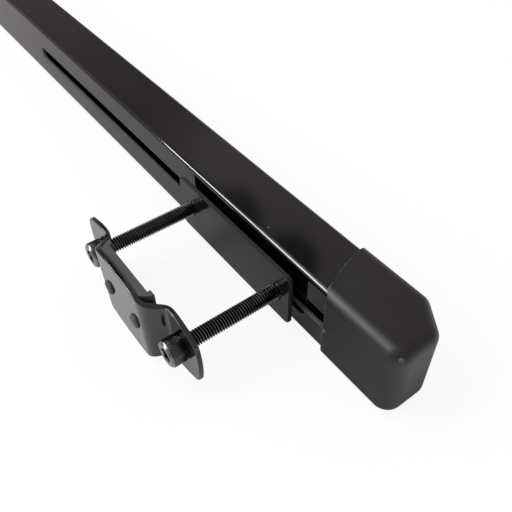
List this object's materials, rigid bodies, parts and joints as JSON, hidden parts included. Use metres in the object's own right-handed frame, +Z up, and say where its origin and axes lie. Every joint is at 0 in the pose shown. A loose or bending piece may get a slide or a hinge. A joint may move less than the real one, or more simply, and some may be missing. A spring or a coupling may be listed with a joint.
{
  "type": "roof rack crossbar",
  "caption": "Rectangular black steel roof rack crossbar with sloped moulded end caps and bolted rail clamps that slide along slots in its underside.",
  "frame": {"origin": "middle of the bar's load face, the top face in use", "axes": "+X along the bar towards the end that the picture shows; +Y out of the load face, which is up in use; +Z up as the bar lies on its side on a table"},
  "size_m": [1.226, 0.0755, 0.0332],
  "materials": {
    "gloss_black_steel": "gloss black enamel",
    "gloss_black_bracket": "gloss black enamel on stamped plate",
    "moulded_plastic": "fine matte moulding",
    "rubber": "smooth matte",
    "jaw_rubber": "smooth matte",
    "black_oxide_steel": "black oxide, lightly oiled",
    "zinc_plated_steel": "zinc plated"
  },
  "bodies": {
    "bar": {"bar_tube": "gloss_black_steel", "end_cap_right": "moulded_plastic", "end_cap_left": "moulded_plastic"},
    "carriage_right": {"slide_plate_right": "zinc_plated_steel"},
    "pad_right": {"rail_pad_right": "rubber"},
    "bracket_right": {"clamp_bracket_right": "gloss_black_bracket", "jaw_pad_right": "jaw_rubber"},
    "bolt_outer_right": {"bolt_outer_right": "black_oxide_steel"},
    "bolt_inner_right": {"bolt_inner_right": "black_oxide_steel"},
    "carriage_left": {"slide_plate_left": "zinc_plated_steel"},
    "pad_left": {"rail_pad_left": "rubber"},
    "bracket_left": {"clamp_bracket_left": "gloss_black_bracket", "jaw_pad_left": "jaw_rubber"},
    "bolt_outer_left": {"bolt_outer_left": "black_oxide_steel"},
    "bolt_inner_left": {"bolt_inner_left": "black_oxide_steel"}
  },
  "joints": [
    {"name": "clamp_slide_right", "type": "slide", "parent": "bar", "child": "carriage_right", "axis": [1, 0, 0], "range_m": [-0.163, 0.01]},
    {"name": "pad_slide_right", "type": "slide", "parent": "carriage_right", "child": "pad_right", "axis": [0, 1, 0], "range_m": [-0.02, 0.0017]},
    {"name": "bracket_slide_right", "type": "slide", "parent": "carriage_right", "child": "bracket_right", "axis": [0, 1, 0], "range_m": [-0.003, 0.012]},
    {"name": "bolt_outer_turn_right", "type": "hinge", "parent": "bracket_right", "child": "bolt_outer_right", "pos_m": [0.5592, -0.066, 0], "axis": [0, 1, 0], "range_deg": [-1080, 4320]},
    {"name": "bolt_inner_turn_right", "type": "hinge", "parent": "bracket_right", "child": "bolt_inner_right", "pos_m": [0.5038, -0.066, 0], "axis": [0, 1, 0], "range_deg": [-1080, 4320]},
    {"name": "clamp_slide_left", "type": "slide", "parent": "bar", "child": "carriage_left", "axis": [-1, 0, 0], "range_m": [-0.163, 0.01]},
    {"name": "pad_slide_left", "type": "slide", "parent": "carriage_left", "child": "pad_left", "axis": [0, 1, 0], "range_m": [-0.02, 0.0017]},
    {"name": "bracket_slide_left", "type": "slide", "parent": "carriage_left", "child": "bracket_left", "axis": [0, 1, 0], "range_m": [-0.003, 0.012]},
    {"name": "bolt_outer_turn_left", "type": "hinge", "parent": "bracket_left", "child": "bolt_outer_left", "pos_m": [-0.5592, -0.066, 0], "axis": [0, 1, 0], "range_deg": [-1080, 4320]},
    {"name": "bolt_inner_turn_left", "type": "hinge", "parent": "bracket_left", "child": "bolt_inner_left", "pos_m": [-0.5038, -0.066, 0], "axis": [0, 1, 0], "range_deg": [-1080, 4320]}
  ],
  "couplings": [
    {"joint": "bolt_outer_turn_right", "follows": "bracket_slide_right", "rad_per_m": 6283.2},
    {"joint": "bolt_inner_turn_right", "follows": "bracket_slide_right", "rad_per_m": 6283.2},
    {"joint": "bolt_outer_turn_left", "follows": "bracket_slide_left", "rad_per_m": 6283.2},
    {"joint": "bolt_inner_turn_left", "follows": "bracket_slide_left", "rad_per_m": 6283.2}
  ]
}
